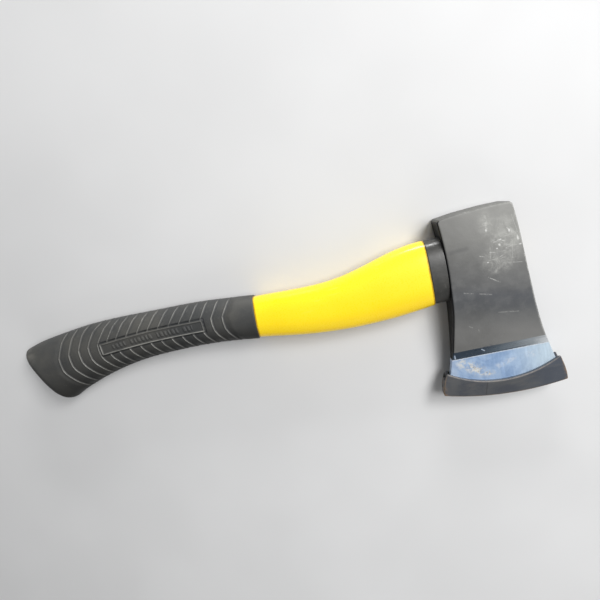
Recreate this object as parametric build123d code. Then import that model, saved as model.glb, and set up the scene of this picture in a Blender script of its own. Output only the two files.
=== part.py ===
from build123d import *
# Camp hatchet: forged steel head, fibreglass core moulded into a plastic jacket,
# rubber grip, neck collar, resin and wedge in the eye, and a pull-off blade guard.
#
# Frame: the hatchet lies flat on one cheek. +X runs along the eye from the handle
# side to the far side of the head, +Y runs from the cutting edge towards the poll,
# +Z is up through the thickness. The origin is on the resting plane, straight
# below the middle of the eye. All sizes in millimetres.
import math
import os

os.makedirs("parts", exist_ok=True)

# ---------------------------------------------------------------- dimensions
HEAD_T = 26.0                 # thickness of the head across the eye
MID_Z = HEAD_T / 2            # middle plane of the whole tool
POLL_Y = 36.8                 # flat middle of the poll
CHEEK_FLAT_Y = -19.0          # the cheeks are parallel from the poll down to here
BAND_TOP_Y = -61.1            # end of the forged cheek
BEVEL_Y = -67.1               # start of the ground bevel
BAND_TOP_H = 5.65             # half thickness there
BEVEL_H = 3.7
BIT_H = 0.75                  # half thickness at the end of the ground bevel
BIT_TILT = -1.6               # the cutting edge leans a little, toe lower than heel
EDGE_R = 165.0                # radius of the cutting edge
EDGE_C = (12.0, 67.9)         # its centre
EDGE_HALF_ANGLE = 13.0        # each side of the honed edge
EYE_Y = 0.8
EYE_IN = (37.0, 15.4)         # eye at the handle side, height and width
EYE_OUT = (40.0, 17.4)        # eye at the far side
EYE_IN_X, EYE_OUT_X = -24.5, 27.4

COLLAR_X, COLLAR_LOW_X = -34.4, -36.2   # rear face of the neck collar, top and bottom
COLLAR_A, COLLAR_B, COLLAR_Y = 22.9, 12.2, 0.7
SPIGOT_A, SPIGOT_B = 19.9, 9.4

CORE_T = 11.6                 # thickness of the fibreglass core
CORE_TIP = 32.0               # its height in the eye
CORE_END_X = 26.4
RESIN_END_X = 25.9
WEDGE_L, WEDGE_W, WEDGE_T = 25.0, 27.0, 3.4

GRIP_FRONT_X = -163.0         # where the rubber ends and the bare jacket starts
GUARD_NOTCH = (-80.5, -86.0)  # how far the end notches run down from the mouth
RIM_R = 1.4                   # rounding round the cheeks
SEAM = 0.25                   # gap between the head and what butts against it
GUARD_TRAVEL = 45.0           # how far the guard pulls off
GUARD_GAP = 0.3               # between the blade guard and the bit
GUARD_R = 0.9                 # rounding of its outer edges
GUARD_H = 5.0                 # half thickness of the guard at its mouth
GUARD_H_LOW = 4.0             # half thickness at its lower edge


# ---------------------------------------------------------------- helpers
def superellipse(a, b, n, count=28):
    """Points of a rounded oval, a along its local y and b along its local x."""
    pts = []
    for i in range(count):
        t = 2 * math.pi * i / count
        c, s = math.cos(t), math.sin(t)
        pts.append((
            b * math.copysign(abs(s) ** (2 / n), s),
            a * math.copysign(abs(c) ** (2 / n), c),
        ))
    return pts


def section(top, bottom, b, n):
    """Closed oval face through the top and bottom points of the side view."""
    (tx, ty), (bx, by) = top, bottom
    a = math.hypot(tx - bx, ty - by) / 2
    up = ((tx - bx) / (2 * a), (ty - by) / (2 * a))
    cx, cy = (tx + bx) / 2, (ty + by) / 2
    pts = []
    for z, h in superellipse(a, b, n):
        pts.append(Vector(cx + up[0] * h, cy + up[1] * h, MID_Z + z))
    return Face(Wire([Edge.make_spline(pts, periodic=True)]))


def inset(d, r):
    """How far a rounded end of radius r has drawn in at distance d from the end."""
    return 0.0 if d >= r else r - math.sqrt(r * r - (r - d) ** 2)


def skin(rows):
    return Solid.make_loft([section(*r).outer_wire() for r in rows], ruled=False)


# ---------------------------------------------------------------- grip outline
# (top point, bottom point, half thickness, fullness) from the butt forward
END_T, END_B = (-358.0, 20.5), (-336.4, -30.1)
UP = (END_T[0] - END_B[0], END_T[1] - END_B[1])
UPL = math.hypot(*UP)
UP = (UP[0] / UPL, UP[1] / UPL)
IN = (UP[1], -UP[0])          # into the grip, square to the butt face
TOP_DIR, BOT_DIR = (0.973, 0.232), (0.908, 0.419)


def butt_row(d, shrink=0.0, b=12.9):
    """One section near the butt, d inside the butt face, all sides inset by shrink."""
    d0 = max(d - shrink, 0.0)
    t = (d) / (TOP_DIR[0] * IN[0] + TOP_DIR[1] * IN[1])
    s = (d) / (BOT_DIR[0] * IN[0] + BOT_DIR[1] * IN[1])
    it = inset(d0, max(5.6 - shrink, 0.5)) + shrink
    ib = inset(d0, max(12.0 - shrink, 0.5)) + shrink
    top = (END_T[0] + TOP_DIR[0] * t - UP[0] * it, END_T[1] + TOP_DIR[1] * t - UP[1] * it)
    bot = (END_B[0] + BOT_DIR[0] * s + UP[0] * ib, END_B[1] + BOT_DIR[1] * s + UP[1] * ib)
    return (top, bot, b - inset(d0, max(6.5 - shrink, 0.5)) - shrink, 2.45)


GRIP_BODY = [
    ((-333.0, 25.3), (-315.0, -21.0), 12.9, 2.45),
    ((-318.0, 26.6), (-304.0, -17.8), 12.85, 2.42),
    ((-304.0, 27.6), (-294.0, -15.2), 12.7, 2.4),
    ((-287.0, 27.8), (-281.0, -12.6), 12.5, 2.4),
    ((-268.0, 27.1), (-265.0, -10.4), 12.3, 2.4),
    ((-247.0, 25.8), (-246.0, -9.4), 12.1, 2.4),
    ((-226.0, 24.5), (-228.0, -9.6), 12.0, 2.4),
    ((-205.0, 22.9), (-209.0, -10.4), 12.0, 2.4),
    ((-185.0, 20.4), (-189.0, -12.4), 12.1, 2.4),
    ((-163.2, 17.15), (-166.7, -15.65), 12.3, 2.4),
]
GRIP_ROWS = [butt_row(d) for d in (0.0, 0.45, 1.6, 3.6, 6.6, 10.0, 13.0)] + GRIP_BODY

# jacket under the grip: 3.2 mm inside it
WALL = 3.2


def inner_row(row):
    (tx, ty), (bx, by), b, n = row
    L = math.hypot(tx - bx, ty - by)
    u = ((tx - bx) / L, (ty - by) / L)
    return ((tx - u[0] * WALL, ty - u[1] * WALL), (bx + u[0] * WALL, by + u[1] * WALL), b - WALL, n)


JACKET_HIDDEN = [inner_row(butt_row(d)) for d in (14.5, 18.0)] + [inner_row(r) for r in GRIP_BODY]
(gtx, gty), (gbx, gby), _, _ = GRIP_BODY[-1]
gl = math.hypot(gtx - gbx, gty - gby)
gu = ((gtx - gbx) / gl, (gty - gby) / gl)
JACKET_SHOWN = [
    ((gtx - gu[0] * 1.1, gty - gu[1] * 1.1), (gbx + gu[0] * 0.9, gby + gu[1] * 0.9), 11.3, 2.45),
    ((-150.0, 15.2), (-153.3, -17.3), 11.1, 2.45),
    ((-137.0, 14.15), (-140.8, -19.75), 11.0, 2.5),
    ((-121.0, 13.2), (-124.0, -22.5), 10.9, 2.5),
    ((-105.5, 13.25), (-107.5, -24.25), 10.9, 2.55),
    ((-90.5, 15.0), (-91.0, -25.3), 11.1, 2.6),
    ((-76.5, 17.9), (-75.5, -25.4), 11.4, 2.65),
    ((-63.5, 20.95), (-62.5, -25.1), 11.8, 2.7),
    ((-54.0, 22.75), (-54.0, -24.5), 12.0, 2.74),
    ((-44.5, 23.85), (-45.0, -23.7), 12.2, 2.78),
    ((-34.4, 24.0), (-36.2, -22.75), 12.3, 2.8),
]


# ---------------------------------------------------------------- axe head
def head_profile(dx=0.0):
    """Side view of the head as one flat face at z = 0."""
    r, (cx, cy) = EDGE_R, EDGE_C
    arc = lambda x: (x, cy - math.sqrt(r * r - (x - cx) ** 2))
    heel, mid, toe = arc(-39.6), arc(-1.0), arc(37.2)
    left = [
        (-24.1, 34.4), (-23.5, 24.0), (-23.4, 10.5), (-24.2, -6.0), (-25.3, -18.0),
        (-26.2, -28.0), (-28.5, -42.5), (-31.4, -58.0), (-34.2, -70.0), (-37.2, -80.0),
        (-39.9, -87.4),
    ]
    right = [
        (25.5, 34.4), (26.4, 25.0), (27.0, 11.0), (27.3, -3.0), (27.7, -18.0),
        (28.3, -29.0), (29.7, -42.0), (31.8, -56.0), (34.2, -68.0), (36.6, -79.0),
        (38.6, -89.5),
    ]
    poll = [left[0], (-22.6, 35.9), (-9.0, POLL_Y), (10.0, POLL_Y), (24.0, 36.0), right[0]]
    move = lambda p: (p[0] + dx, p[1])
    left, right, poll = [move(p) for p in left], [move(p) for p in right], [move(p) for p in poll]
    heel, mid, toe = move(heel), move(mid), move(toe)
    edges = [Edge.make_line(p, q) for p, q in zip(poll, poll[1:])]
    edges += [
        Edge.make_spline([Vector(*p) for p in right]),
        Edge.make_line(right[-1], toe),
        Edge.make_three_point_arc(toe, mid, heel),
        Edge.make_line(heel, left[-1]),
        Edge.make_spline([Vector(*p) for p in reversed(left)]),
    ]
    return Face(Wire(edges))


def slab(face, height, z0=0.0):
    return Pos(0, 0, z0) * extrude(face, amount=height, dir=(0, 0, 1))


def side_wedge(points, tilt=0.0, pivot=(0.0, 0.0), x0=-80.0, x1=80.0):
    """Prism along x whose half thickness follows (y, h) points, about the middle plane."""
    up = [Vector(x0, y, MID_Z + h) for y, h in points]
    down = [Vector(x0, y, MID_Z - h) for y, h in reversed(points)]
    face = Face(Wire.make_polygon(up + down, close=True))
    solid = extrude(face, amount=x1 - x0, dir=(1, 0, 0))
    if tilt:
        solid = Pos(*pivot, 0) * Rot(0, 0, tilt) * Pos(-pivot[0], -pivot[1], 0) * solid
    return solid


def cheek_body():
    """Prism along x: flat cheeks that sweep down to the forged band."""
    h = HEAD_T / 2
    pts = [(CHEEK_FLAT_Y, h), (-26.0, h - 0.45), (-36.0, h - 2.15), (-48.0, h - 4.75),
           (-60.0, h - 7.15), (-74.0, h - 8.9), (-110.0, h - 9.8)]
    x0, x1 = -80.0, 80.0
    up = [Vector(x0, y, MID_Z + t) for y, t in pts]
    down = [Vector(x0, y, MID_Z - t) for y, t in reversed(pts)]
    top = Vector(x0, 60, HEAD_T), Vector(x0, 60, 0)
    edges = [
        Edge.make_line(top[0], up[0]),
        Edge.make_spline(up, tangents=[Vector(0, -1, 0), Vector(0, -1, -0.01)]),
        Edge.make_line(up[-1], down[0]),
        Edge.make_spline(down, tangents=[Vector(0, 1, -0.01), Vector(0, 1, 0)]),
        Edge.make_line(down[-1], top[1]),
        Edge.make_line(top[1], top[0]),
    ]
    return extrude(Face(Wire(edges)), amount=x1 - x0, dir=(1, 0, 0))


SLOPE = (BAND_TOP_H - BEVEL_H) / (BAND_TOP_Y - BEVEL_Y)
BEVEL_SLOPE = (BEVEL_H - BIT_H) / (BEVEL_Y + 98.4)
PIVOT = (0.0, -62.0)


def bevel_points(grow=0.0):
    return [
        (60.0, 40.0),
        (BAND_TOP_Y + 30.0, BAND_TOP_H + 30.0 * SLOPE + grow),
        (BEVEL_Y, BEVEL_H + grow),
        (-103.0, BEVEL_H - (103.0 + BEVEL_Y) * BEVEL_SLOPE + grow),
    ]


def honed_cones():
    """Double cone about the centre of the cutting edge; its rim is the honed edge."""
    h = EDGE_R * math.tan(math.radians(EDGE_HALF_ANGLE))
    half = Face(Wire.make_polygon([
        Vector(0, 0, -h - 0.06), Vector(EDGE_R + 0.01, 0, -0.06),
        Vector(EDGE_R + 0.01, 0, 0.06), Vector(0, 0, h + 0.06),
    ], close=True))
    return Pos(EDGE_C[0], EDGE_C[1], MID_Z) * revolve(half, Axis.Z, 360)


def oblong(height, width, x):
    """Round-ended slot face square to x, centred on the eye."""
    half, r = height / 2 - width / 2, width / 2
    p = lambda h, z: (x, EYE_Y + h, MID_Z + z)
    return Face(Wire([
        Edge.make_line(p(-half, -r), p(half, -r)),
        Edge.make_three_point_arc(p(half, -r), p(half + r, 0), p(half, r)),
        Edge.make_line(p(half, r), p(-half, r)),
        Edge.make_three_point_arc(p(-half, r), p(-half - r, 0), p(-half, -r)),
    ]))


def eye_solid():
    """Slot through the head along x, flaring towards the far side."""
    flare = math.degrees(math.atan((EYE_OUT[1] - EYE_IN[1]) / 2 / (EYE_OUT_X - EYE_IN_X)))
    past = 4.0
    k = math.tan(math.radians(flare))
    start = oblong(EYE_IN[0] - 2 * k * past, EYE_IN[1] - 2 * k * past, EYE_IN_X - past)
    return extrude(start, amount=EYE_OUT_X - EYE_IN_X + 2 * past, dir=(1, 0, 0), taper=-flare)


def single(shape):
    solids = shape.solids()
    return max(solids, key=lambda s: s.volume)


def rim_edges(solid):
    """Edges round the poll and down both sides of the head."""
    picked = []
    for e in solid.edges():
        bb = e.bounding_box()
        tall = bb.max.Y - bb.min.Y > 30 and bb.min.Y > -92.5
        if bb.min.Y > 34 or tall:
            picked.append(e)
    return picked


def tilted(points):
    return side_wedge(points, BIT_TILT, PIVOT)


def rounded(solid, edges, radii):
    """Fillet with the first radius the geometry takes."""
    for r in radii:
        try:
            out = solid.fillet(r, edges)
        except Exception:
            continue
        if out.is_valid:
            return single(out)
    return solid


sides = head_profile()
blank = single(slab(sides, HEAD_T) & cheek_body())
blank = single(blank.fillet(RIM_R, rim_edges(blank)))
blank = single(blank & tilted(bevel_points()))
blank = single(blank & honed_cones())
eye = eye_solid()
axe_head = single(blank - eye)
export_step(axe_head, "parts/axe_head.step")

# the side view of the head moved a hair towards the handle, to trim what butts on it
block = single(slab(head_profile(-SEAM), HEAD_T))

# ---------------------------------------------------------------- fibreglass core
CORE_H = CORE_T / 2
CORE_ROWS = [
    ((-336.5, 16.0), (-324.5, -14.5), CORE_H, 3.2),
    ((-316.0, 19.6), (-304.5, -10.8), CORE_H, 3.2),
    ((-285.0, 21.0), (-279.5, -6.4), CORE_H, 3.2),
    ((-247.0, 19.2), (-246.0, -3.0), CORE_H, 3.2),
    ((-205.0, 16.4), (-208.5, -4.0), CORE_H, 3.2),
    ((-165.0, 12.0), (-168.0, -9.0), CORE_H, 3.2),
    ((-123.0, 8.2), (-125.5, -17.0), CORE_H, 3.2),
    ((-90.5, 9.8), (-91.0, -20.0), CORE_H, 3.2),
    ((-64.0, 14.8), (-63.5, -16.2), CORE_H, 3.0),
    ((-40.0, 16.3), (-40.0, -14.7), CORE_H, 2.7),
]
core_tip = extrude(oblong(CORE_TIP, CORE_T, -42.0), amount=CORE_END_X + 42.0, dir=(1, 0, 0))
core_solid = single(skin(CORE_ROWS) + core_tip)

# wedge driven into a slot in the end of the core
def wedge_face(x, t):
    return Wire.make_polygon([
        Vector(x, EYE_Y - WEDGE_W / 2, MID_Z - t / 2), Vector(x, EYE_Y + WEDGE_W / 2, MID_Z - t / 2),
        Vector(x, EYE_Y + WEDGE_W / 2, MID_Z + t / 2), Vector(x, EYE_Y - WEDGE_W / 2, MID_Z + t / 2),
    ], close=True)


wedge = Solid.make_loft([wedge_face(CORE_END_X - WEDGE_L, 0.8), wedge_face(CORE_END_X - 0.4, WEDGE_T)], ruled=True)
slot = wedge + Solid.make_loft([wedge_face(CORE_END_X - 0.4, WEDGE_T), wedge_face(CORE_END_X + 2, WEDGE_T)], ruled=True)
handle_core = single(core_solid - slot)
export_step(handle_core, "parts/handle_core.step")
export_step(single(wedge), "parts/eye_wedge.step")

# ---------------------------------------------------------------- resin in the eye
plug = single(eye & single(slab(sides, HEAD_T)))
plug = single(plug & Pos((RESIN_END_X - 80) / 2, 0, MID_Z) * Box(RESIN_END_X + 80, 80, 60))
eye_resin = single(plug - core_solid)
export_step(eye_resin, "parts/eye_resin.step")

# ---------------------------------------------------------------- jacket
hidden = skin(JACKET_HIDDEN)
shown = skin(JACKET_SHOWN)
spigot = extrude(oblong(2 * SPIGOT_A, 2 * SPIGOT_B, -40.0), amount=20.0, dir=(1, 0, 0))
outer = single(hidden + shown)
outer = single(outer + (spigot - block))
handle_jacket = single(outer - core_solid)
export_step(handle_jacket, "parts/handle_jacket.step")

# ---------------------------------------------------------------- rubber grip
grip_skin = skin(GRIP_ROWS)
rubber_grip = single(grip_skin - hidden)
export_step(rubber_grip, "parts/rubber_grip.step")

# ---------------------------------------------------------------- neck collar
rear = section((COLLAR_X, COLLAR_Y + COLLAR_A), (COLLAR_LOW_X, COLLAR_Y - COLLAR_A), COLLAR_B, 2.8)
collar_skin = extrude(rear, amount=16.0, dir=(1, 0, 0))
neck_collar = single(collar_skin - block)
front = neck_collar.edges().sort_by(Axis.X)[0]
neck_collar = single(neck_collar.fillet(0.8, [front]))
neck_collar = single(neck_collar - spigot)
export_step(neck_collar, "parts/neck_collar.step")

# ---------------------------------------------------------------- blade guard
def guard_profile():
    """Side view of the guard: mouth arc above, lower edge arc below, rounded ends."""
    left_top, right_top = (-39.0, -75.4), (39.9, -79.4)
    left_low, right_low = (-44.4, -91.9), (42.2, -98.4)
    edges = [
        Edge.make_three_point_arc(left_top, (-0.8, -88.7), right_top),
        Edge.make_spline([Vector(*right_top), Vector(41.2, -85.5), Vector(42.2, -92.0), Vector(*right_low)]),
        Edge.make_three_point_arc(right_low, (2.0, -100.2), left_low),
        Edge.make_spline([Vector(*left_low), Vector(-43.9, -87.5), Vector(-41.8, -80.5), Vector(*left_top)]),
    ]
    return Face(Wire(edges))


guard_blank = single(slab(guard_profile(), HEAD_T) & tilted([
    (-66.0, GUARD_H), (-86.0, GUARD_H), (-108.0, GUARD_H_LOW - 0.4),
]))
guard_blank = rounded(guard_blank, guard_blank.edges(), (GUARD_R, 0.7, 0.5))
pocket_h = [(-60.0, BEVEL_H + 0.6), (BEVEL_Y, BEVEL_H + GUARD_GAP), bevel_points(GUARD_GAP)[3]]
arc_y = lambda x, r: EDGE_C[1] - math.sqrt(r * r - (x - EDGE_C[0]) ** 2)
px0, px1 = -39.9 - GUARD_GAP, 38.6 + GUARD_GAP
rr = EDGE_R + 0.35
pocket_face = Face(Wire([
    Edge.make_line((px0, -60), (px1, -60)),
    Edge.make_line((px1, -60), (px1, arc_y(px1, rr))),
    Edge.make_three_point_arc((px1, arc_y(px1, rr)), (-1.0, arc_y(-1.0, rr)), (px0, arc_y(px0, rr))),
    Edge.make_line((px0, arc_y(px0, rr)), (px0, -60)),
]))
pocket = single(slab(pocket_face, HEAD_T) & tilted(pocket_h))
guard = guard_blank - pocket
notch_h = BEVEL_H + 0.25
for x, y in ((px0, GUARD_NOTCH[0]), (px1, GUARD_NOTCH[1])):
    side = -1 if x < 0 else 1
    guard = guard - Pos(x + side * 5, y + 15, MID_Z) * Box(10.4, 30, 2 * notch_h)
blade_guard = single(guard)
export_step(blade_guard, "parts/blade_guard.step")
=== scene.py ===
import math

import bpy
import numpy as np
from mathutils import Matrix, Vector


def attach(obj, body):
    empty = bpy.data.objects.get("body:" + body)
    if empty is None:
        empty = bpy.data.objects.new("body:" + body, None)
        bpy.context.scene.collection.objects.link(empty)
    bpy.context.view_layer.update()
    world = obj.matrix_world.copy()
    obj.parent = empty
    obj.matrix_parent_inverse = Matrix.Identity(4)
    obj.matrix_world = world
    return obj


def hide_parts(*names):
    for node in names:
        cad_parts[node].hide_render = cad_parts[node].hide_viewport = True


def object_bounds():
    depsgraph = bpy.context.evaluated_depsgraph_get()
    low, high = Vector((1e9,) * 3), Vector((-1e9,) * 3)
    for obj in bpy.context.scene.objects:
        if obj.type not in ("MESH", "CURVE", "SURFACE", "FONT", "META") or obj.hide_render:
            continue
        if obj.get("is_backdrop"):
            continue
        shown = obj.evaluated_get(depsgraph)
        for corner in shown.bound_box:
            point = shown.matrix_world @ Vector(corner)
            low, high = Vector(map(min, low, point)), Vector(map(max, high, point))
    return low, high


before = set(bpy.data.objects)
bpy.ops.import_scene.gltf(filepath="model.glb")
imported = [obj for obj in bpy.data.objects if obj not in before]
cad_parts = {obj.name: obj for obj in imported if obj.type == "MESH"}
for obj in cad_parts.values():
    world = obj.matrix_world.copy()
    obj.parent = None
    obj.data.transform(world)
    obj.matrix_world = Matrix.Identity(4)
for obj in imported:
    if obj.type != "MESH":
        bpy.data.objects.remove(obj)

cad_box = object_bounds()
scene = bpy.context.scene
scene.view_settings.view_transform = "Standard"


def plain(v):
    if isinstance(v, (int, float)):
        return float(v)
    return [plain(x) for x in v]


# ------------------------------------------------------------------ camera
def add_camera():
    cam = bpy.data.cameras.new("camera")
    ob = bpy.data.objects.new("camera", cam)
    scene.collection.objects.link(ob)
    r = Vector((0.95672789, -0.27140442, -0.10493516))
    u = Vector((0.2460077, 0.94702512, -0.20645492))
    f = Vector((-0.15540901, -0.17170633, -0.97281292))
    ob.matrix_world = Matrix((
        (r.x, u.x, -f.x, -0.07573300508),
        (r.y, u.y, -f.y, 0.06426702146),
        (r.z, u.z, -f.z, 0.35046968976),
        (0, 0, 0, 1),
    ))
    cam.sensor_width = 36
    cam.lens = 466.721 * 36 / 600
    cam.clip_start = 0.01
    scene.camera = ob


add_camera()


# ------------------------------------------------------------------ materials
class Mat:
    """A node material being put together. Lengths in object coordinates are metres."""

    def __init__(self, name, rough=0.5, metallic=0.0, specular=0.5, coat=0.0, coat_rough=0.1, ior=1.5):
        self.mat = bpy.data.materials.new(name)
        self.mat.use_nodes = True
        self.nt = self.mat.node_tree
        self.nt.nodes.clear()
        self.out = self.nt.nodes.new("ShaderNodeOutputMaterial")
        self.sh = self.nt.nodes.new("ShaderNodeBsdfPrincipled")
        self.nt.links.new(self.sh.outputs[0], self.out.inputs[0])
        i = self.sh.inputs
        i["Roughness"].default_value = rough
        i["Metallic"].default_value = metallic
        i["Specular IOR Level"].default_value = specular
        i["Coat Weight"].default_value = coat
        i["Coat Roughness"].default_value = coat_rough
        i["IOR"].default_value = ior
        self.tc = self.nt.nodes.new("ShaderNodeTexCoord")
        self.xyz = self.nt.nodes.new("ShaderNodeSeparateXYZ")
        self.link(self.tc.outputs["Object"], self.xyz.inputs[0])
        self.x, self.y, self.z = self.xyz.outputs
        self.obj = self.tc.outputs["Object"]

    def link(self, a, b):
        self.nt.links.new(a, b)

    def put(self, socket, v):
        if isinstance(v, (int, float)):
            socket.default_value = v
        elif isinstance(v, (tuple, list)):
            if len(v) == 3 and socket.type == "RGBA":
                v = (*v, 1)
            socket.default_value = v
        else:
            self.link(v, socket)

    def m(self, op, a, b=0.0, c=0.0, clamp=False):
        n = self.nt.nodes.new("ShaderNodeMath")
        n.operation = op
        n.use_clamp = clamp
        self.put(n.inputs[0], a)
        self.put(n.inputs[1], b)
        self.put(n.inputs[2], c)
        return n.outputs[0]

    def v(self, op, a, b=(0, 0, 0), scale=None):
        n = self.nt.nodes.new("ShaderNodeVectorMath")
        n.operation = op
        self.put(n.inputs[0], a)
        if op == "SCALE":
            self.put(n.inputs["Scale"], scale)
        elif op != "LENGTH":
            self.put(n.inputs[1], b)
        return n.outputs["Value"] if op in ("LENGTH", "DOT_PRODUCT", "DISTANCE") else n.outputs[0]

    def step(self, v, lo, hi, a=0.0, b=1.0, smooth=True):
        """a below lo, b above hi, eased between. lo may be larger than hi."""
        n = self.nt.nodes.new("ShaderNodeMapRange")
        n.interpolation_type = "SMOOTHSTEP" if smooth else "LINEAR"
        n.clamp = True
        if lo > hi:
            lo, hi, a, b = hi, lo, b, a
        self.put(n.inputs["Value"], v)
        n.inputs["From Min"].default_value = lo
        n.inputs["From Max"].default_value = hi
        n.inputs["To Min"].default_value = a
        n.inputs["To Max"].default_value = b
        return n.outputs["Result"]

    def mapped(self, scale=(1, 1, 1), rot=(0, 0, 0), loc=(0, 0, 0), vec=None):
        n = self.nt.nodes.new("ShaderNodeMapping")
        self.link(vec or self.obj, n.inputs[0])
        n.inputs["Location"].default_value = loc
        n.inputs["Rotation"].default_value = rot
        n.inputs["Scale"].default_value = scale
        return n.outputs[0]

    def noise(self, scale, detail=3.0, rough=0.5, dist=0.0, vec=None, w=None):
        n = self.nt.nodes.new("ShaderNodeTexNoise")
        if w is not None:
            n.noise_dimensions = "4D"
            n.inputs["W"].default_value = w
        n.inputs["Scale"].default_value = scale
        n.inputs["Detail"].default_value = detail
        n.inputs["Roughness"].default_value = rough
        n.inputs["Distortion"].default_value = dist
        self.link(vec or self.obj, n.inputs["Vector"])
        return n.outputs["Fac"] if "Fac" in n.outputs else n.outputs[0]

    def voronoi(self, scale, feature="F1", vec=None, rand=1.0):
        n = self.nt.nodes.new("ShaderNodeTexVoronoi")
        n.feature = feature
        n.inputs["Scale"].default_value = scale
        n.inputs["Randomness"].default_value = rand
        self.link(vec or self.obj, n.inputs["Vector"])
        return n.outputs["Distance"]

    def mix(self, fac, a, b, blend="MIX"):
        n = self.nt.nodes.new("ShaderNodeMix")
        n.data_type = "RGBA"
        n.blend_type = blend
        n.clamp_factor = True
        self.put(n.inputs[0], fac)
        self.put(n.inputs[6], a)
        self.put(n.inputs[7], b)
        return n.outputs[2]

    def ramp(self, fac, stops, interp="LINEAR"):
        n = self.nt.nodes.new("ShaderNodeValToRGB")
        n.color_ramp.interpolation = interp
        el = n.color_ramp.elements
        while len(el) < len(stops):
            el.new(0.5)
        for e, (p, c) in zip(el, stops):
            e.position = p
            e.color = (*c, 1) if len(c) == 3 else c
        self.link(fac, n.inputs[0])
        return n.outputs[0]

    def bump(self, height, strength=0.3, distance=0.0005, normal=None):
        n = self.nt.nodes.new("ShaderNodeBump")
        n.inputs["Strength"].default_value = strength
        n.inputs["Distance"].default_value = distance
        self.put(n.inputs["Height"], height)
        if normal is not None:
            self.link(normal, n.inputs["Normal"])
        return n.outputs[0]

    def segment(self, p, a, b, width, soft=0.6):
        """1 on the line from a to b (mm, in x and y), fading over width mm."""
        ax, ay, bx, by = a[0] / 1000, a[1] / 1000, b[0] / 1000, b[1] / 1000
        dx, dy = bx - ax, by - ay
        l2 = dx * dx + dy * dy
        rel = self.v("SUBTRACT", p, (ax, ay, 0))
        t = self.m("MULTIPLY", self.v("DOT_PRODUCT", rel, (dx / l2, dy / l2, 0)), 1.0, clamp=True)
        near = self.v("SCALE", (dx, dy, 0), scale=t)
        d = self.v("LENGTH", self.v("SUBTRACT", rel, near))
        return self.step(d, width / 1000, width / 1000 * (1 - soft), 0.0, 1.0)

    def blob(self, p, c, rx, ry=None, soft=0.7):
        """Soft oval spot at c (mm), radii in mm."""
        ry = ry or rx
        rel = self.v("SUBTRACT", p, (c[0] / 1000, c[1] / 1000, 0))
        rel = self.v("MULTIPLY", rel, (1000 / rx, 1000 / ry, 0))
        return self.step(self.v("LENGTH", rel), 1.0, 1.0 - soft, 0.0, 1.0)

    def any(self, parts):
        out = parts[0]
        for q in parts[1:]:
            out = self.m("MAXIMUM", out, q)
        return out

    def dim(self, col, f):
        """The colour times the number f."""
        n = self.nt.nodes.new("ShaderNodeVectorMath")
        n.operation = "SCALE"
        self.put(n.inputs[0], col)
        self.put(n.inputs["Scale"], f)
        return n.outputs[0]

    def facing(self):
        n = self.nt.nodes.new("ShaderNodeSeparateXYZ")
        self.link(self.tc.outputs["Normal"], n.inputs[0])
        return n.outputs

    def color(self, v):
        self.put(self.sh.inputs["Base Color"], v)

    def rough(self, v):
        self.put(self.sh.inputs["Roughness"], v)

    def metal(self, v):
        self.put(self.sh.inputs["Metallic"], v)

    def normal(self, v):
        self.link(v, self.sh.inputs["Normal"])


BIT_TILT = math.radians(-1.6)
PIVOT_Y = -0.062
BEVEL_Y = -0.0671
BAND_Y = -0.0611


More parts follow.
